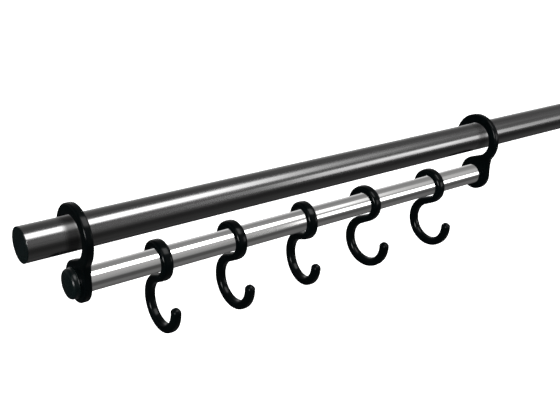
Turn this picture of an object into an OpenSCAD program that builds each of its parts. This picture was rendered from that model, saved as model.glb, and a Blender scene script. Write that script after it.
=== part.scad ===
// Hook rack: two hangers hook over a bar and carry a thin rail below it, and five S hooks slide
// on the rail. X runs along the bar, Y points to the back and Z up. The origin is on the bar's
// axis, at its left end face.

/* [Bar] */
// Outer diameter of the bar
bar_d = 28; // [24:0.5:32]
// Length of the bar with its two end plugs
bar_l = 680; // [600:5:1200]
// Wall thickness of the bar
bar_wall = 1.2; // [0.8:0.1:2]
// Distance from the bar's left end face to the middle of the left hanger
bar_overhang = 42.2; // [25:0.5:80]

/* [Rail] */
// Outer diameter of the rail
rail_d = 20; // [16:0.5:22]
// Wall thickness of the rail
rail_wall = 1; // [0.8:0.1:1.5]
// Height of the bar's axis above the rail's axis
rail_drop = 40.7; // [36:0.5:48]
// Distance between the middles of the two hangers
hanger_span = 454.5; // [420:0.5:500]

/* [Hangers] */
// Thickness of the open hook that goes over the bar
hanger_t = 8.8; // [7:0.1:11]
// Width of the open hook along the bar
hanger_w = 6.4; // [4:0.2:8]
// Radius of the hole in the open hook
hanger_hole_r = 17.3; // [17:0.1:20]
// Radius of the closed eye round the rail
eye_r = 16.9; // [14:0.1:18]
// Width of the eye along the rail
eye_w = 6.8; // [5:0.2:9]

/* [End caps and plugs] */
// Diameter of the rail's end caps
cap_d = 25.4; // [22:0.2:30]
// Length of an end cap's head
cap_l = 6.3; // [3:0.1:9]
// Radius of the rounded rim of an end cap
cap_rim = 1.4; // [0.4:0.1:1.8]
// Thickness of the flange of a bar plug
plug_flange = 0.8; // [0.6:0.1:3]

/* [S hooks] */
// Radius of the hole that the rail goes through
hook_hole_r = 10.7; // [10.6:0.1:12]
// Thickness of the ring round the rail
ring_t = 6.9; // [5:0.1:8]
// Width of the ring along the rail
ring_w = 9.8; // [6:0.1:11]
// Thickness of the lower hook
hook_t = 8.1; // [6:0.1:9]
// Width of the lower hook along the rail
hook_w = 7.7; // [5:0.2:9]
// Bending radius of the lower hook, at the middle of its thickness
hook_bend = 21.4; // [18:0.1:22]
// Hook 1: place from the left hanger in mm, swing and twist in degrees
hook_1_place = [71, -1.5, -1]; // [-10:0.5:440]
// Hook 2: place from the left hanger in mm, swing and twist in degrees
hook_2_place = [143, -1, 1.5]; // [-10:0.5:440]
// Hook 3: place from the left hanger in mm, swing and twist in degrees
hook_3_place = [222.5, -7, -6]; // [-10:0.5:440]
// Hook 4: place from the left hanger in mm, swing and twist in degrees
hook_4_place = [298, 0, 6.5]; // [-10:0.5:440]
// Hook 5: place from the left hanger in mm, swing and twist in degrees
hook_5_place = [387, -1.5, 2]; // [-10:0.5:440]

/* [Hidden] */
$fn = 96;

// Clearances: a turning fit, a free gap between parts that move, and a plug in its tube
running_gap = 0.05;
free_gap = 0.2;
plug_gap = 0.05;
plug_depth = 14;
plug_wall = 1.6;
soft_edge = 1.4;

bar_r = bar_d / 2;
rail_r = rail_d / 2;
left_x = bar_overhang;
right_x = bar_overhang + hanger_span;

// The open hook hangs on top of the bar, so its centre lies below the bar's axis and a little in front
hang_depth = hanger_hole_r - bar_r - free_gap;
hang_forward = 1.3;
hang_centre = [hang_forward, -sqrt(hang_depth * hang_depth - hang_forward * hang_forward)];
hanger_bend = hanger_hole_r + hanger_t / 2;
hanger_outer_r = hanger_hole_r + hanger_t;
// The open hook starts behind the bar, and runs over it to the neck in front
hanger_open_end = 200;
hanger_neck_end = -44;
neck_inner_end = -60;
// The eye is thicker at the front and top, where the neck joins it
eye_centre = [2.2, 1.8 - rail_drop];
eye_bore_r = rail_r + running_gap;

// The rail ends just outside the eyes
rail_end_gap = 0.3;
rail_left = left_x - eye_w / 2 - rail_end_gap;
rail_right = right_x + eye_w / 2 + rail_end_gap;

// The S hook: the ring hangs on the rail, and a straight tangent joins it to the lower hook
ring_sag = 0.4;
ring_bend = hook_hole_r + ring_t / 2;
ring_centre = [0, -ring_sag];
hook_centre = [4.6, -37.4];
ring_open_end = 205;
hook_tip_end = 361;
hook_edge = 2.2;
// The straight stretch and the tip are a little slimmer than the bends that they join
hook_slim = 0.4;
hook_reach = 0.5;
tip_r = min(hook_t, hook_w) / 2 - hook_slim;
to_hook = hook_centre - ring_centre;
tangent_angle = acos(min(1, (ring_bend + hook_bend) / norm(to_hook)));
ring_joint_end = atan2(to_hook[1], to_hook[0]) + tangent_angle;
hook_joint_end = ring_joint_end + 180;

black = "#10171a";
gunmetal = "#4a4b4d";
silver = "#c3c6c9";

function on_circle(centre, radius, angle) = centre + radius * [cos(angle), sin(angle)];

// Draws what follows as seen from the left end: first axis to the front, second axis up
module side_view(x, z) {
    translate([x, 0, z]) rotate([90, 0, -90]) children();
}

module chamfered_rectangle(size, edge) {
    x = size[0] / 2;
    y = size[1] / 2;
    polygon([
        [x, y - edge], [x - edge, y], [edge - x, y], [-x, y - edge],
        [-x, edge - y], [edge - x, -y], [x - edge, -y], [x, edge - y]
    ]);
}

// A strip bent round the origin, with bevelled edges
module bent_strip(bend, from, to, thickness, width, edge) {
    rotate([0, 0, from])
        rotate_extrude(angle = to - from)
            translate([bend, 0]) chamfered_rectangle([thickness, width], edge);
}

module tube(radius, wall, from, to) {
    translate([from, 0, 0]) rotate([0, 90, 0])
        difference() {
            cylinder(r = radius, h = to - from);
            translate([0, 0, -1]) cylinder(r = radius - wall, h = to - from + 2);
        }
}

// A disc with a rounded rim on top, on a hollow spigot that points down
module stopper(radius, thickness, rim, spigot_r) {
    rotate_extrude() {
        square([radius - rim, thickness]);
        square([radius, thickness - rim]);
        translate([radius - rim, thickness - rim]) intersection() {
            circle(r = rim);
            square(rim);
        }
        translate([spigot_r - plug_wall, -plug_depth]) square([plug_wall, plug_depth]);
    }
}

module bar_tube() {
    color(gunmetal) tube(bar_r, bar_wall, plug_flange, bar_l - plug_flange);
}

module bar_plug() {
    color(black) stopper(bar_r, plug_flange, 0.3, bar_r - bar_wall - plug_gap);
}

module bar_left_plug() {
    translate([plug_flange, 0, 0]) rotate([0, -90, 0]) bar_plug();
}

module bar_right_plug() {
    translate([bar_l - plug_flange, 0, 0]) rotate([0, 90, 0]) bar_plug();
}

// The neck runs from the end of the open hook to the eye, flat at the front of the eye
module neck() {
    linear_extrude(height = hanger_w, center = true)
        polygon([
            on_circle(hang_centre, hanger_hole_r, -32),
            on_circle(hang_centre, hanger_hole_r, -42),
            on_circle(hang_centre, hanger_hole_r, -51),
            on_circle(hang_centre, hanger_hole_r, neck_inner_end),
            on_circle(eye_centre, eye_r, 100),
            on_circle(eye_centre, eye_r, 130),
            on_circle(eye_centre, eye_r / 2, 180),
            on_circle(eye_centre, eye_r / 2, -45),
            on_circle(eye_centre, eye_r, -5),
            on_circle(eye_centre, eye_r, 0) + [-0.3, 9],
            on_circle(eye_centre, eye_r, 0) + [0.3, 12.8],
            on_circle(hang_centre, hanger_outer_r, hanger_neck_end + 1)
        ]);
}

module hanger(x) {
    color(black) side_view(x, 0) difference() {
        union() {
            translate(hang_centre)
                bent_strip(hanger_bend, hanger_neck_end, hanger_open_end, hanger_t, hanger_w, soft_edge);
            neck();
            translate(eye_centre) bent_eye();
        }
        translate([0, -rail_drop, 0]) cylinder(r = eye_bore_r, h = 2 * eye_w, center = true);
    }
}

module bent_eye() {
    rotate_extrude() {
        translate([0, -eye_w / 2]) square([eye_r - soft_edge, eye_w]);
        translate([0, soft_edge - eye_w / 2]) square([eye_r, eye_w - 2 * soft_edge]);
        for (side = [-1, 1])
            translate([eye_r - soft_edge, side * (eye_w / 2 - soft_edge)]) circle(r = soft_edge);
    }
}

module left_hanger() {
    hanger(left_x);
}

module right_hanger() {
    hanger(right_x);
}

module rail_tube() {
    color(silver) translate([0, 0, -rail_drop]) tube(rail_r, rail_wall, rail_left, rail_right);
}

module rail_cap() {
    color(black) stopper(cap_d / 2, cap_l, cap_rim, rail_r - rail_wall - plug_gap);
}

module rail_left_cap() {
    translate([rail_left, 0, -rail_drop]) rotate([0, -90, 0]) rail_cap();
}

module rail_right_cap() {
    translate([rail_right, 0, -rail_drop]) rotate([0, 90, 0]) rail_cap();
}

module s_hook() {
    ring_end = on_circle(ring_centre, ring_bend, ring_joint_end);
    hook_start = on_circle(hook_centre, hook_bend, hook_joint_end);
    joint_l = norm(hook_start - ring_end);
    joint_t = min(ring_t, hook_t) - hook_slim;
    translate(ring_centre)
        bent_strip(ring_bend, ring_joint_end, ring_open_end, ring_t, ring_w, hook_edge);
    translate(ring_end) rotate([0, 0, ring_joint_end]) rotate([90, 0, 0])
        translate([0, 0, -hook_reach]) linear_extrude(height = joint_l + 2 * hook_reach)
            chamfered_rectangle([joint_t, hook_w - hook_slim], hook_edge);
    translate(hook_centre)
        bent_strip(hook_bend, hook_joint_end, hook_tip_end, hook_t, hook_w, hook_edge);
    translate(on_circle(hook_centre, hook_bend, hook_tip_end))
        rotate([-90, 0, hook_tip_end]) sphere(r = tip_r);
}

// Places a hook on the rail: twisted about the vertical, and swung about the rail's axis
module placed_hook(place) {
    color(black)
        translate([left_x + place[0], 0, -rail_drop]) rotate([0, 0, place[2]])
            rotate([90, 0, -90]) rotate([0, 0, place[1]]) s_hook();
}

module hook_1() {
    placed_hook(hook_1_place);
}

module hook_2() {
    placed_hook(hook_2_place);
}

module hook_3() {
    placed_hook(hook_3_place);
}

module hook_4() {
    placed_hook(hook_4_place);
}

module hook_5() {
    placed_hook(hook_5_place);
}

bar_tube();
bar_left_plug();
bar_right_plug();
left_hanger();
right_hanger();
rail_tube();
rail_left_cap();
rail_right_cap();
hook_1();
hook_2();
hook_3();
hook_4();
hook_5();
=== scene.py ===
import math

import bmesh
import bpy
import numpy as np
from mathutils import Matrix, Vector


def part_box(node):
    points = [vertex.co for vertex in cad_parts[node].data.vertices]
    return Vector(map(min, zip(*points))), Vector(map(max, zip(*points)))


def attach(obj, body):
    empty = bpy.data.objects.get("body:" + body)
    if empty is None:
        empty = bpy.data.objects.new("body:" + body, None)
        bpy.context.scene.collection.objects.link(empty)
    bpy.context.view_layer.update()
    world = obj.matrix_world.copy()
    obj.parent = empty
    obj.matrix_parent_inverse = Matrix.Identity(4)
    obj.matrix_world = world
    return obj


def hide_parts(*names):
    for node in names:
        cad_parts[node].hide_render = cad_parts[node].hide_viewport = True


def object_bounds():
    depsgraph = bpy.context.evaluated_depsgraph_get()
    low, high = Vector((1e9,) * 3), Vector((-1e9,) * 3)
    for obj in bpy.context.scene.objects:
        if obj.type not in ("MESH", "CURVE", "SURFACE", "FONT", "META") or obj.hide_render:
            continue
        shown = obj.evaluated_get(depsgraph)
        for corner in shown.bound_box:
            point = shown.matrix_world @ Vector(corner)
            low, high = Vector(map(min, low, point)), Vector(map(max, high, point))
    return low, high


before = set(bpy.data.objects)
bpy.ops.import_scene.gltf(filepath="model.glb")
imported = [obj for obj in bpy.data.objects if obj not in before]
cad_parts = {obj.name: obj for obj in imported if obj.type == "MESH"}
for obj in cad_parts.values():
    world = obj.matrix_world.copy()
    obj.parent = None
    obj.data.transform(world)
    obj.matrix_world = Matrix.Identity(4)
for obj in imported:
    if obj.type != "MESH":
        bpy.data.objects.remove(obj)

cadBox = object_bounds()
mm = 0.001


# Where the pieces go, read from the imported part

def boxMiddle(node):
    low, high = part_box(node)
    return (low + high) / 2


barLow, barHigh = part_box("bar_tube")
railLow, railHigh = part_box("rail_tube")
barRadius = (barHigh.y - barLow.y) / 2
railRadius = (railHigh.y - railLow.y) / 2
railZ = (railLow.z + railHigh.z) / 2


# Mesh helpers

def pieceFromMesh(name, mesh, body, nodes, material):
    # A finished mesh becomes a piece that moves with its body
    piece = bpy.data.objects.new(name, mesh)
    bpy.context.scene.collection.objects.link(piece)
    mesh.materials.append(material)
    mesh.shade_smooth()
    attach(piece, body)
    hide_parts(*nodes)
    return piece


def meshFromLoops(name, loops, closedAlong=False):
    # Loops of equal length are joined side by side; an end loop may be a single point
    bm = bmesh.new()
    rows = [[bm.verts.new(p) for p in loop] for loop in loops]
    pairs = list(zip(rows, rows[1:] + rows[:1])) if closedAlong else list(zip(rows, rows[1:]))
    for a, b in pairs:
        count = max(len(a), len(b))
        for i in range(count):
            j = (i + 1) % count
            if len(a) == 1:
                bm.faces.new((a[0], b[j], b[i]))
            elif len(b) == 1:
                bm.faces.new((a[i], a[j], b[0]))
            else:
                bm.faces.new((a[i], a[j], b[j], b[i]))
    bmesh.ops.recalc_face_normals(bm, faces=bm.faces)
    mesh = bpy.data.meshes.new(name)
    bm.to_mesh(mesh)
    bm.free()
    return mesh


def latheX(name, profile, centre, around=144, closed=False):
    # profile holds (x, radius) points in metres; the axis runs along X through centre
    loops = []
    for x, radius in profile:
        if radius < 1e-9:
            loops.append([Vector((x, centre[0], centre[1]))])
            continue
        loops.append([
            Vector((x, centre[0] + radius * math.cos(a), centre[1] + radius * math.sin(a)))
            for a in np.linspace(0, 2 * math.pi, around, endpoint=False)
        ])
    return meshFromLoops(name, loops, closedAlong=closed)


def corner(x, r, radius, start, end, steps=6):
    # Points on a small arc round (x, r), from the angle start to end in degrees
    return [
        (x + radius * math.cos(math.radians(a)), r + radius * math.sin(math.radians(a)))
        for a in np.linspace(start, end, steps)
    ]


# Materials

def startMaterial(name, colour, metallic, roughness):
    material = bpy.data.materials.new(name)
    material.use_nodes = True
    material.diffuse_color = (*colour, 1)
    shader = material.node_tree.nodes["Principled BSDF"]
    shader.inputs["Base Color"].default_value = (*colour, 1)
    shader.inputs["Metallic"].default_value = metallic
    shader.inputs["Roughness"].default_value = roughness
    return material, material.node_tree, shader


def noiseIn(tree, stretch, scale=1.0, detail=3.0, rough=0.55):
    # Noise in the part's own coordinates, in metres, stretched by a scale for each axis
    coords = tree.nodes.new("ShaderNodeTexCoord")
    mapping = tree.nodes.new("ShaderNodeMapping")
    noise = tree.nodes.new("ShaderNodeTexNoise")
    mapping.inputs["Scale"].default_value = stretch
    noise.inputs["Scale"].default_value = scale
    noise.inputs["Detail"].default_value = detail
    noise.inputs["Roughness"].default_value = rough
    tree.links.new(coords.outputs["Object"], mapping.inputs["Vector"])
    tree.links.new(mapping.outputs["Vector"], noise.inputs["Vector"])
    return noise.outputs["Fac"]


def between(tree, factor, low, high, fromLow=0.3, fromHigh=0.7):
    # Maps a noise value onto a range of numbers
    node = tree.nodes.new("ShaderNodeMapRange")
    node.inputs["From Min"].default_value = fromLow
    node.inputs["From Max"].default_value = fromHigh
    node.inputs["To Min"].default_value = low
    node.inputs["To Max"].default_value = high
    tree.links.new(factor, node.inputs["Value"])
    return node.outputs["Result"]


def shadeOf(tree, factor, dark, light, fromLow=0.3, fromHigh=0.7):
    # Maps a noise value onto a colour between two shades
    ramp = tree.nodes.new("ShaderNodeValToRGB")
    ramp.color_ramp.elements[0].position = fromLow
    ramp.color_ramp.elements[0].color = (*dark, 1)
    ramp.color_ramp.elements[1].position = fromHigh
    ramp.color_ramp.elements[1].color = (*light, 1)
    tree.links.new(factor, ramp.inputs["Fac"])
    return ramp.outputs["Color"]


def bumpFrom(tree, shader, height, strength, distance):
    bump = tree.nodes.new("ShaderNodeBump")
    bump.inputs["Strength"].default_value = strength
    bump.inputs["Distance"].default_value = distance
    tree.links.new(height, bump.inputs["Height"])
    tree.links.new(bump.outputs["Normal"], shader.inputs["Normal"])


def mathOf(tree, operation, first, second):
    node = tree.nodes.new("ShaderNodeMath")
    node.operation = operation
    for socket, value in zip(node.inputs, (first, second)):
        if isinstance(value, (int, float)):
            socket.default_value = value
        else:
            tree.links.new(value, socket)
    return node.outputs["Value"]


# Dark metal of the bar: drawn lines run along it. The darker, rougher patch to the left of each
# hanger is a painted reflection of that hanger, because the hangers are kept out of what the tubes
# mirror
barFinish = {
    "dark": (0.144, 0.143, 0.143), "light": (0.194, 0.193, 0.193),
    "roughness": (0.15, 0.21), "clouds": (9, 30, 30),
    "lines": (5, 700, 700), "lineStrength": 0.25, "lineDepth": 0.00002,
    "paintedReflections": {"left_hanger": (12, 0.72), "right_hanger": (12, 0.5)},  # reach in mm, how dark
    "reflectionFade": 7,  # mm
    "reflectionRoughness": 0.2,
}


def paintedHangerReflections(tree, s):
    # 0 away from the hangers, and up to each painted reflection's own darkness beside its hanger
    coords = tree.nodes.new("ShaderNodeTexCoord")
    split = tree.nodes.new("ShaderNodeSeparateXYZ")
    tree.links.new(coords.outputs["Object"], split.inputs["Vector"])
    total = 0
    for node, (reach, depth) in s["paintedReflections"].items():
        edge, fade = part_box(node)[0].x, s["reflectionFade"] * mm
        start = edge - reach * mm
        rise = between(tree, split.outputs["X"], 0, depth, start, start + fade)
        fall = between(tree, split.outputs["X"], 1, 0, edge, edge + fade)
        rise.node.interpolation_type = "SMOOTHSTEP"
        total = mathOf(tree, "ADD", mathOf(tree, "MULTIPLY", rise, fall), total)
    return total


def makeBarMetal(s):
    material, tree, shader = startMaterial("barMetal", s["light"], 1.0, s["roughness"][0])
    lines = noiseIn(tree, s["lines"], detail=4)
    clouds = noiseIn(tree, s["clouds"], detail=3)
    paintedReflections = paintedHangerReflections(tree, s)
    # The base colour is darkened where each hanger's reflection is painted
    reflectionDarkened = tree.nodes.new("ShaderNodeVectorMath")
    reflectionDarkened.operation = "SCALE"
    tree.links.new(shadeOf(tree, lines, s["dark"], s["light"]), reflectionDarkened.inputs["Vector"])
    tree.links.new(mathOf(tree, "SUBTRACT", 1, paintedReflections), reflectionDarkened.inputs["Scale"])
    tree.links.new(reflectionDarkened.outputs["Vector"], shader.inputs["Base Color"])
    added = mathOf(tree, "MULTIPLY", paintedReflections, s["reflectionRoughness"])
    rough = mathOf(tree, "ADD", between(tree, clouds, *s["roughness"]), added)
    tree.links.new(rough, shader.inputs["Roughness"])
    bumpFrom(tree, shader, lines, s["lineStrength"], s["lineDepth"])
    return material


# Bright chrome of the rail: nearly a mirror, with faint long streaks
railFinish = {
    "dark": (0.80, 0.79, 0.78), "light": (0.90, 0.90, 0.90),
    "roughness": (0.055, 0.11), "clouds": (14, 60, 60),
    "streaks": (4, 380, 380), "streakStrength": 0.3, "streakDepth": 0.00003,
}


def makeRailChrome(s):
    material, tree, shader = startMaterial("railChrome", s["light"], 1.0, s["roughness"][0])
    streaks = noiseIn(tree, s["streaks"], detail=3)
    clouds = noiseIn(tree, s["clouds"], detail=4)
    tree.links.new(shadeOf(tree, streaks, s["dark"], s["light"]), shader.inputs["Base Color"])
    tree.links.new(between(tree, clouds, *s["roughness"]), shader.inputs["Roughness"])
    bumpFrom(tree, shader, streaks, s["streakStrength"], s["streakDepth"])
    return material


# Moulded plastics: a fine grain, and patches that are a little less shiny
hookFinish = {
    "dark": (0.0005, 0.0010, 0.0011), "light": (0.0010, 0.0019, 0.0021),
    "roughness": (0.12, 0.20), "patches": 55, "shine": 0.08,
    "grain": 1500, "grainStrength": 0.12, "grainDepth": 0.00002,
}
plugFinish = {
    "dark": (0.0012, 0.0030, 0.0031), "light": (0.0022, 0.0048, 0.0050),
    "roughness": (0.22, 0.32), "patches": 55, "shine": 0.19,
    "grain": 2200, "grainStrength": 0.12, "grainDepth": 0.00003,
}


def makePlastic(name, s):
    material, tree, shader = startMaterial(name, s["light"], 0.0, s["roughness"][0])
    shader.inputs["Specular IOR Level"].default_value = s["shine"]
    grain = noiseIn(tree, (1, 1, 1), scale=s["grain"], detail=2)
    patches = noiseIn(tree, (1, 1, 1), scale=s["patches"], detail=4)
    tree.links.new(shadeOf(tree, patches, s["dark"], s["light"]), shader.inputs["Base Color"])
    tree.links.new(between(tree, patches, *s["roughness"]), shader.inputs["Roughness"])
    bumpFrom(tree, shader, grain, s["grainStrength"], s["grainDepth"])
    return material


barMetal = makeBarMetal(barFinish)
railChrome = makeRailChrome(railFinish)
hookPlastic = makePlastic("hookPlastic", hookFinish)
plugPlastic = makePlastic("plugPlastic", plugFinish)
print("materials made")


# The bar and its two end plugs

barShape = {"wall": 1.2, "cutEdge": 0.12}
plugShape = {
    "flange": 0.8, "rim": 0.25, "dome": 0.05, "flare": 0,
    "spigotWall": 1.6, "spigotDepth": 14,
}
spigotGap = 0.05  # mm between a spigot and the tube's wall


def tubeProfile(start, end, radius, wall, edge):
    # Closed outline of a tube's wall with both cut ends rounded off
    inner = radius - wall
    return (
        [(start + 2 * edge, radius), (end - 2 * edge, radius)]
        + corner(end - edge, radius - edge, edge, 90, 0)
        + corner(end - edge, inner + edge, edge, 0, -90)
        + [(end - 2 * edge, inner), (start + 2 * edge, inner)]
        + corner(start + edge, inner + edge, edge, 270, 180)
        + corner(start + edge, radius - edge, edge, 180, 90)
    )


def makeBar(s):
    profile = tubeProfile(barLow.x, barHigh.x, barRadius, s["wall"] * mm, s["cutEdge"] * mm)
    mesh = latheX("barTube", profile, (0, 0), around=192, closed=True)
    tube = pieceFromMesh("barTube", mesh, "bar", ["bar_tube"], barMetal)
    tube.visible_glossy = False  # bar and rail don't mirror each other


def headProfile(face, sign, radius, s, length, spigotR):
    # A head with a domed face, a rounded rim and a flared foot, then its hollow spigot
    rim, dome, flare = s["rim"] * mm, s["dome"] * mm, s["flare"] * mm
    depth, inside = s["spigotDepth"] * mm, spigotR - s["spigotWall"] * mm
    flat, body = radius - flare - rim, radius - flare
    soft = 0.15 * mm  # how far the sharp edges are eased
    flareFrom, flarePower = 0.3, 3  # the flare starts here along the side, and curls out this fast
    points = [(dome * k * k, flat * k) for k in (0, 0.15, 0.3, 0.45, 0.6, 0.75, 0.88, 0.96, 1)]
    points += corner(dome + rim, flat, rim, 180, 90, 14)[1:]
    start, end = dome + rim, length - soft
    for k in (0.02, 0.3, 0.5, 0.65, 0.78, 0.88, 0.95, 1):
        curl = max(0, (k - flareFrom) / (1 - flareFrom)) ** flarePower
        points.append((start + (end - start) * k, body + flare * curl))
    points += corner(length - soft, radius - soft, soft, 75, 0)
    points += [
        (length, spigotR + soft), (length + soft, spigotR),
        (length + depth - 2 * soft, spigotR), (length + depth, spigotR - 2 * soft),
        (length + depth, inside), (length, inside), (length - soft / 3, 0),
    ]
    return [(face - sign * x, r) for x, r in points]


def makeBarPlug(name, node, face, sign, s):
    spigotR = barRadius - (barShape["wall"] + spigotGap) * mm
    profile = headProfile(face, sign, barRadius, s, s["flange"] * mm, spigotR)
    mesh = latheX(name, profile, (0, 0))
    pieceFromMesh(name, mesh, "bar", [node], plugPlastic)


makeBar(barShape)
leftFace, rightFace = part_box("bar_left_plug")[0].x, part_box("bar_right_plug")[1].x
makeBarPlug("barLeftPlug", "bar_left_plug", leftFace, -1, plugShape)
makeBarPlug("barRightPlug", "bar_right_plug", rightFace, 1, plugShape)
print("bar and plugs made")


# The rail and its two end caps

railShape = {"wall": 1.0, "cutEdge": 0.25}
capShape = {
    "rim": 2.8, "dome": 0.9, "flare": 0.5,
    "spigotWall": 1.6, "spigotDepth": 14,
}


def makeRail(s):
    profile = tubeProfile(railLow.x, railHigh.x, railRadius, s["wall"] * mm, s["cutEdge"] * mm)
    mesh = latheX("railTube", profile, (0, railZ), around=192, closed=True)
    tube = pieceFromMesh("railTube", mesh, "rail", ["rail_tube"], railChrome)
    tube.visible_glossy = False


def makeRailCap(name, node, face, sign, length, s):
    low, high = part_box(node)
    spigotR = railRadius - (railShape["wall"] + spigotGap) * mm
    profile = headProfile(face, sign, (high.y - low.y) / 2, s, length, spigotR)
    mesh = latheX(name, profile, (0, railZ))
    pieceFromMesh(name, mesh, "rail", [node], plugPlastic)


makeRail(railShape)
leftCapFace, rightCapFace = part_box("rail_left_cap")[0].x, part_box("rail_right_cap")[1].x
makeRailCap("railLeftCap", "rail_left_cap", leftCapFace, -1, railLow.x - leftCapFace, capShape)
makeRailCap("railRightCap", "rail_right_cap", rightCapFace, 1, rightCapFace - railHigh.x, capShape)
print("rail and caps made")


# Side views: first axis to the front, second axis up, third to the left

sideView = Matrix(((0, 0, -1, 0), (-1, 0, 0, 0), (0, 1, 0, 0), (0, 0, 0, 1)))


def onCircle(centre, radius, degrees):
    a = math.radians(degrees)
    return np.array(centre) + radius * np.array([math.cos(a), math.sin(a)])


def arcPoints(centre, radius, start, end, step=0.6):
    # Points along an arc, about step apart in the same unit as the radius
    count = max(2, int(abs(math.radians(end - start)) * radius / step) + 1)
    return [onCircle(centre, radius, a) for a in np.linspace(start, end, count)]


# The two hangers

hangerShape = {
    "holeR": 17.3, "thickness": 9.0, "width": 6.6, "centre": (1.3, -2.81),
    "openEnd": 200, "neckEnd": -44, "innerEnd": -58,  # angles round the hook's centre
    "neck": ((0.3, 12.8), (-0.2, 9.0), (-0.1, 5.0)),  # from the eye's foremost point
    "eyeR": 17.2, "eyeCentre": (2.2, 1.8), "eyeSweep": (-2, -258),
    "boreGap": 0.05, "boreEdge": 0.35,
    "softEdge": 1.5, "flow": 1.6, "spacing": 0.55,
}


def evenlySpaced(points, spacing):
    # Walks round a closed outline in equal steps
    closed = np.vstack([points, points[:1]])
    run = np.concatenate([[0], np.cumsum(np.linalg.norm(np.diff(closed, axis=0), axis=1))])
    count = int(run[-1] / spacing)
    at = np.linspace(0, run[-1], count, endpoint=False)
    return np.stack([np.interp(at, run, closed[:, k]) for k in (0, 1)], axis=1)


def relaxed(points, spacing, reach):
    # Rounds every corner of a closed outline, as a mould maker blends them
    steps = int(3 * reach / spacing)
    weights = np.exp(-0.5 * (np.arange(-steps, steps + 1) * spacing / reach) ** 2)
    weights /= weights.sum()
    return sum(w * np.roll(points, -k, axis=0) for k, w in zip(range(-steps, steps + 1), weights))


def outwardNormals(points):
    along = np.roll(points, -1, axis=0) - np.roll(points, 1, axis=0)
    along /= np.linalg.norm(along, axis=1)[:, None]
    return np.stack([along[:, 1], -along[:, 0]], axis=1)


def hangerOutline(s):
    # Over the outside of the open hook, down the neck, round the eye and back along the inside
    holeR, outerR = s["holeR"], s["holeR"] + s["thickness"]
    centre = s["centre"]
    eye = (s["eyeCentre"][0], s["eyeCentre"][1] + railZ / mm)
    middleR, endR = (holeR + outerR) / 2, s["thickness"] / 2
    openMiddle = onCircle(centre, middleR, s["openEnd"])
    front = onCircle(eye, s["eyeR"], 0)
    points = arcPoints(centre, outerR, s["openEnd"], s["neckEnd"])
    points += [front + offset for offset in s["neck"]]
    points += arcPoints(eye, s["eyeR"], *s["eyeSweep"])
    points += arcPoints(centre, holeR, s["innerEnd"], s["openEnd"] - 0.5)
    points += arcPoints(openMiddle, endR, s["openEnd"] + 180, s["openEnd"] + 360)[1:-1]
    outline = evenlySpaced(np.array(points)[::-1], s["spacing"])
    return relaxed(outline, s["spacing"], s["flow"])


def roundedEdge(half, edge, steps):
    # From one face to the other as (inset, across) pairs, starting a little way in on the face
    near = [(edge + 0.2, half)]
    for a in np.linspace(0, math.pi / 2, steps):
        near.append((edge * (1 - math.sin(a)), half - edge * (1 - math.cos(a))))
    return near + [(inset, -across) for inset, across in reversed(near)]


def makeHanger(name, node, s):
    outline = hangerOutline(s)
    normals = outwardNormals(outline)
    half = s["width"] / 2
    boreR = railRadius / mm + s["boreGap"]
    boreCentre = (0, railZ / mm)
    place = Matrix.Translation((boxMiddle(node).x, 0, 0)) @ sideView @ Matrix.Scale(mm, 4)

    bm = bmesh.new()
    outerRows = [
        [bm.verts.new(place @ Vector((*(p - n * inset), across)))
         for p, n in zip(outline, normals)]
        for inset, across in roundedEdge(half, s["softEdge"], 9)
    ]
    turns = np.linspace(0, 360, 120, endpoint=False)
    boreRows = [
        [bm.verts.new(place @ Vector((*onCircle(boreCentre, boreR + inset, a), across)))
         for a in turns]
        for inset, across in roundedEdge(half, s["boreEdge"], 5)
    ]
    for rows in (outerRows, boreRows):
        for a, b in zip(rows, rows[1:]):
            for i in range(len(a)):
                j = (i + 1) % len(a)
                bm.faces.new((a[i], a[j], b[j], b[i]))
    for end in (0, -1):
        edges = []
        for rows in (outerRows, boreRows):
            row = rows[end]
            edges += [bm.edges.get((row[i], row[(i + 1) % len(row)])) for i in range(len(row))]
        bmesh.ops.triangle_fill(bm, edges=edges, use_beauty=True, use_dissolve=False)
    bmesh.ops.recalc_face_normals(bm, faces=bm.faces)
    mesh = bpy.data.meshes.new(name)
    bm.to_mesh(mesh)
    bm.free()
    hanger = pieceFromMesh(name, mesh, node, [node], hookPlastic)
    hanger.visible_glossy = False  # kept out of what the tubes mirror


makeHanger("leftHanger", "left_hanger", hangerShape)
makeHanger("rightHanger", "right_hanger", hangerShape)
print("hangers made")


# The five S hooks

hookShape = {
    "holeR": 10.7, "ringT": 6.9, "ringW": 9.8, "hookT": 8.1, "hookW": 7.7, "sag": 0.4,
    "bend": 21.4, "hookCentre": (4.6, -37.4), "ringOpen": 205, "tipEnd": 361,
    "fullness": 3.3,  # 2 is a round section, more is squarer
    "around": 40, "spacing": 0.7, "blend": 12,  # blend: points over which the size changes
}
hookTurns = {  # swing round the rail and twist about the vertical, in degrees
    "hook_1": (-1.5, -1), "hook_2": (-1, 1.5), "hook_3": (-7, -6),
    "hook_4": (0, 6.5), "hook_5": (-1.5, 2),
}


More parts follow.
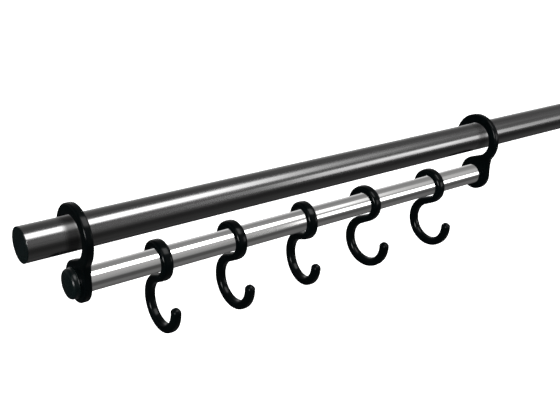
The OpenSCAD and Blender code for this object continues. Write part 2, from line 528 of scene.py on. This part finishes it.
def hookPath(s):
    # Middle line of an S hook from the ring's open end to the tip, with its thickness and width
    ringBend, bend = s["holeR"] + s["ringT"] / 2, s["bend"]
    spacing, blend = s["spacing"], s["blend"]
    ringCentre, hookCentre = np.array([0, -s["sag"]]), np.array(s["hookCentre"])
    across = hookCentre - ringCentre
    meeting = math.degrees(math.acos((ringBend + bend) / np.linalg.norm(across)))
    joint = math.degrees(math.atan2(across[1], across[0])) + meeting
    ring = arcPoints(ringCentre, ringBend, s["ringOpen"], joint, spacing)
    hook = arcPoints(hookCentre, bend, joint + 180, s["tipEnd"], spacing)
    steps = max(3, int(np.linalg.norm(hook[0] - ring[-1]) / spacing))
    straight = [ring[-1] + (hook[0] - ring[-1]) * k / steps for k in range(1, steps)]
    points = np.array(ring + straight + hook)
    share = np.linspace(0, 1, len(points))
    low = (len(ring) - blend) / len(points)
    high = (len(ring) + len(straight) + blend) / len(points)
    ease = np.clip((share - low) / (high - low), 0, 1)
    ease = ease * ease * (3 - 2 * ease)
    thickness = s["ringT"] + (s["hookT"] - s["ringT"]) * ease
    width = s["ringW"] + (s["hookW"] - s["ringW"]) * ease
    return points, thickness, width


def hookLoops(s):
    points, thickness, width = hookPath(s)
    along = np.gradient(points, axis=0)
    along /= np.linalg.norm(along, axis=1)[:, None]
    turns = np.linspace(0, 2 * math.pi, s["around"], endpoint=False)
    power = 2 / s["fullness"]
    sectionX = np.sign(np.cos(turns)) * np.abs(np.cos(turns)) ** power
    sectionY = np.sign(np.sin(turns)) * np.abs(np.sin(turns)) ** power

    def loop(middle, direction, t, w, scale):
        normal = np.array([-direction[1], direction[0]])
        loopPoints = []
        for x, y in zip(sectionX, sectionY):
            inPlane = middle + normal * y * t / 2 * scale
            loopPoints.append(Vector((inPlane[0], inPlane[1], x * w / 2 * scale)))
        return loopPoints

    loops = [loop(p, d, t, w, 1) for p, d, t, w in zip(points, along, thickness, width)]
    for end, sign in ((0, -1), (-1, 1)):
        cap = []
        for k in np.linspace(0, math.pi / 2, 10)[1:-1]:
            reach = thickness[end] / 2 * math.sin(k) * sign
            middle = points[end] + along[end] * reach
            cap.append(loop(middle, along[end], thickness[end], width[end], math.cos(k)))
        pole = points[end] + along[end] * thickness[end] / 2 * sign
        cap.append([Vector((pole[0], pole[1], 0))])
        loops = cap[::-1] + loops if end == 0 else loops + cap
    return loops


def makeHook(node, turn, s):
    swing, twist = (math.radians(a) for a in turn)
    place = (
        Matrix.Translation((0, 0, railZ)) @ Matrix.Rotation(twist, 4, "Z")
        @ sideView @ Matrix.Rotation(swing, 4, "Z") @ Matrix.Scale(mm, 4)
    )
    loops = [[place @ p for p in loop] for loop in hookLoops(s)]
    across = [p.x for loop in loops for p in loop]
    shift = Vector((boxMiddle(node).x - (min(across) + max(across)) / 2, 0, 0))
    loops = [[p + shift for p in loop] for loop in loops]
    name = "hook" + node[-1]
    mesh = meshFromLoops(name, loops)
    hook = pieceFromMesh(name, mesh, node, [node], hookPlastic)
    hook.visible_glossy = False  # kept out of what the tubes mirror


for node, turn in hookTurns.items():
    makeHook(node, turn, hookShape)
print("hooks made")


# Camera, floor and light

cameraSet = {
    "place": (-0.21113, -0.57706, 0.24383), "heading": -37.853, "tilt": -20.213, "roll": 0.36,
    "lens": 56.57, "sensor": 36,
}


def makeCamera(s):
    data = bpy.data.cameras.new("rackCamera")
    data.lens, data.sensor_width = s["lens"], s["sensor"]
    data.clip_start, data.clip_end = 0.01, 50
    camera = bpy.data.objects.new("rackCamera", data)
    bpy.context.scene.collection.objects.link(camera)
    camera.matrix_world = (
        Matrix.Translation(s["place"]) @ Matrix.Rotation(math.radians(s["heading"]), 4, "Z")
        @ Matrix.Rotation(math.radians(90 + s["tilt"]), 4, "X")
        @ Matrix.Rotation(math.radians(s["roll"]), 4, "Z")
    )
    bpy.context.scene.camera = camera


floorSet = {"drop": 0.45, "size": 14, "shade": 0.86, "mottle": 0.01, "roughness": 0.9, "glow": 0.72}


def makeFloor(s):
    half = s["size"] / 2
    corners = ((-half, -half), (half, -half), (half, half), (-half, half))
    bm = bmesh.new()
    bm.faces.new([bm.verts.new((x, y, 0)) for x, y in corners])
    mesh = bpy.data.meshes.new("floor")
    bm.to_mesh(mesh)
    bm.free()
    floor = bpy.data.objects.new("floor", mesh)
    floor.location = (boxMiddle("bar_tube").x, 0, cadBox[0].z - s["drop"])
    bpy.context.scene.collection.objects.link(floor)
    shade, mottle = s["shade"], s["mottle"]
    material, tree, shader = startMaterial("floorPaper", (shade,) * 3, 0.0, s["roughness"])
    paper = noiseIn(tree, (1, 1, 1), scale=3, detail=2)
    colour = shadeOf(tree, paper, (shade - mottle,) * 3, (shade + mottle,) * 3)
    tree.links.new(colour, shader.inputs["Base Color"])
    shader.inputs["Emission Color"].default_value = (1, 1, 1, 1)
    shader.inputs["Emission Strength"].default_value = s["glow"]
    mesh.materials.append(material)
    floor.visible_glossy = False
    floor.visible_diffuse = False


# Brightness of the room by angle round the X axis: 0 is level in front, 90 straight up
roomLight = [
    (-180, 0.90), (-172, 0.20), (-160, 0.06), (-115, 0.08), (-100, 0.15), (-60, 0.14),
    (-42, 0.08), (-22, 0.08), (-5, 0.30), (30, 0.46), (95, 0.30), (112, 0.24),
    (135, 0.29), (150, 0.43), (165, 0.68), (180, 0.92),
]

# Share of that light by direction along X, from -1 (at the left end) to 1 (at the right end)
roomAlong = [(-1.0, 0.4), (0.12, 0.4), (0.28, 1.0), (1.0, 1.0)]

# Soft lights: angles round the X axis where each starts and ends, how soft its edges are, and its
# share of full power by direction along X
softLights = {
    "side": {
        "start": 8, "end": 40, "edge": 6, "power": 34,
        "along": [
            (-1.0, 0.0), (-0.97, 0.6), (-0.90, 1.0), (-0.82, 1.0), (-0.72, 0.4), (-0.60, 0.0),
        ],
    },
    "upper": {
        "start": 47, "end": 79, "edge": 5, "power": 8.5,
        "along": [
            (0.0, 0.1), (0.3, 0.8), (0.36, 1.0), (0.49, 1.0), (0.53, 0.7),
            (0.57, 0.34), (0.60, 0.17), (0.64, 0.08), (0.69, 0.025), (0.80, 0.0),
        ],
    },
    "front": {
        "start": -2, "end": 25, "edge": 4, "power": 5.4,
        "along": [
            (0.0, 0.0), (0.58, 0.0), (0.63, 0.75), (0.68, 1.0),
            (0.72, 0.9), (0.76, 0.42), (0.80, 0.16), (0.86, 0.05),
        ],
    },
}


def rampOf(tree, factor, steps):
    # A smooth curve of brightness through (position, value) pairs
    ramp = tree.nodes.new("ShaderNodeValToRGB")
    stops = ramp.color_ramp.elements
    for k, (position, value) in enumerate(steps):
        stop = stops[k] if k < 2 else stops.new(position)
        stop.position = position
        stop.color = (value, value, value, 1)
    tree.links.new(factor, ramp.inputs["Fac"])
    return ramp.outputs["Color"]


def shareAlong(tree, along, steps):
    # The same for directions along X, given from -1 to 1
    return rampOf(tree, along, [((x + 1) / 2, v) for x, v in steps])


def makeRoom(base, baseAlong, lights):
    world = bpy.data.worlds.new("room")
    world.use_nodes = True
    bpy.context.scene.world = world
    tree = world.node_tree
    coords = tree.nodes.new("ShaderNodeTexCoord")
    split = tree.nodes.new("ShaderNodeSeparateXYZ")
    tree.links.new(coords.outputs["Generated"], split.inputs["Vector"])
    toFront = mathOf(tree, "MULTIPLY", split.outputs["Y"], -1)
    turn = mathOf(tree, "ARCTAN2", split.outputs["Z"], toFront)
    degrees = mathOf(tree, "MULTIPLY", turn, 180 / math.pi)
    share = mathOf(tree, "DIVIDE", mathOf(tree, "ADD", degrees, 180), 360)
    along = mathOf(tree, "DIVIDE", mathOf(tree, "ADD", split.outputs["X"], 1), 2)
    total = rampOf(tree, share, [((a + 180) / 360, v) for a, v in base])
    total = mathOf(tree, "MULTIPLY", total, shareAlong(tree, along, baseAlong))
    for light in lights.values():
        edge = light["edge"]
        rise = between(tree, degrees, 0, 1, light["start"] - edge, light["start"] + edge)
        fall = between(tree, degrees, 1, 0, light["end"] - edge, light["end"] + edge)
        for result in (rise, fall):
            result.node.interpolation_type = "SMOOTHSTEP"
        gain = mathOf(tree, "MULTIPLY", shareAlong(tree, along, light["along"]), light["power"])
        band = mathOf(tree, "MULTIPLY", mathOf(tree, "MULTIPLY", rise, fall), gain)
        total = mathOf(tree, "ADD", total, band)
    # The pieces are lit by the room, and the camera sees plain white behind them
    lit = tree.nodes["Background"]
    plain = tree.nodes.new("ShaderNodeBackground")
    mix = tree.nodes.new("ShaderNodeMixShader")
    path = tree.nodes.new("ShaderNodeLightPath")
    for background in (lit, plain):
        background.inputs["Color"].default_value = (1, 1, 1, 1)
    tree.links.new(total, lit.inputs["Strength"])
    tree.links.new(path.outputs["Is Camera Ray"], mix.inputs["Fac"])
    tree.links.new(lit.outputs["Background"], mix.inputs[1])
    tree.links.new(plain.outputs["Background"], mix.inputs[2])
    tree.links.new(mix.outputs["Shader"], tree.nodes["World Output"].inputs["Surface"])


makeCamera(cameraSet)
makeFloor(floorSet)
makeRoom(roomLight, roomAlong, softLights)
bpy.context.scene.view_settings.view_transform = "Standard"
print("camera, floor and light set")
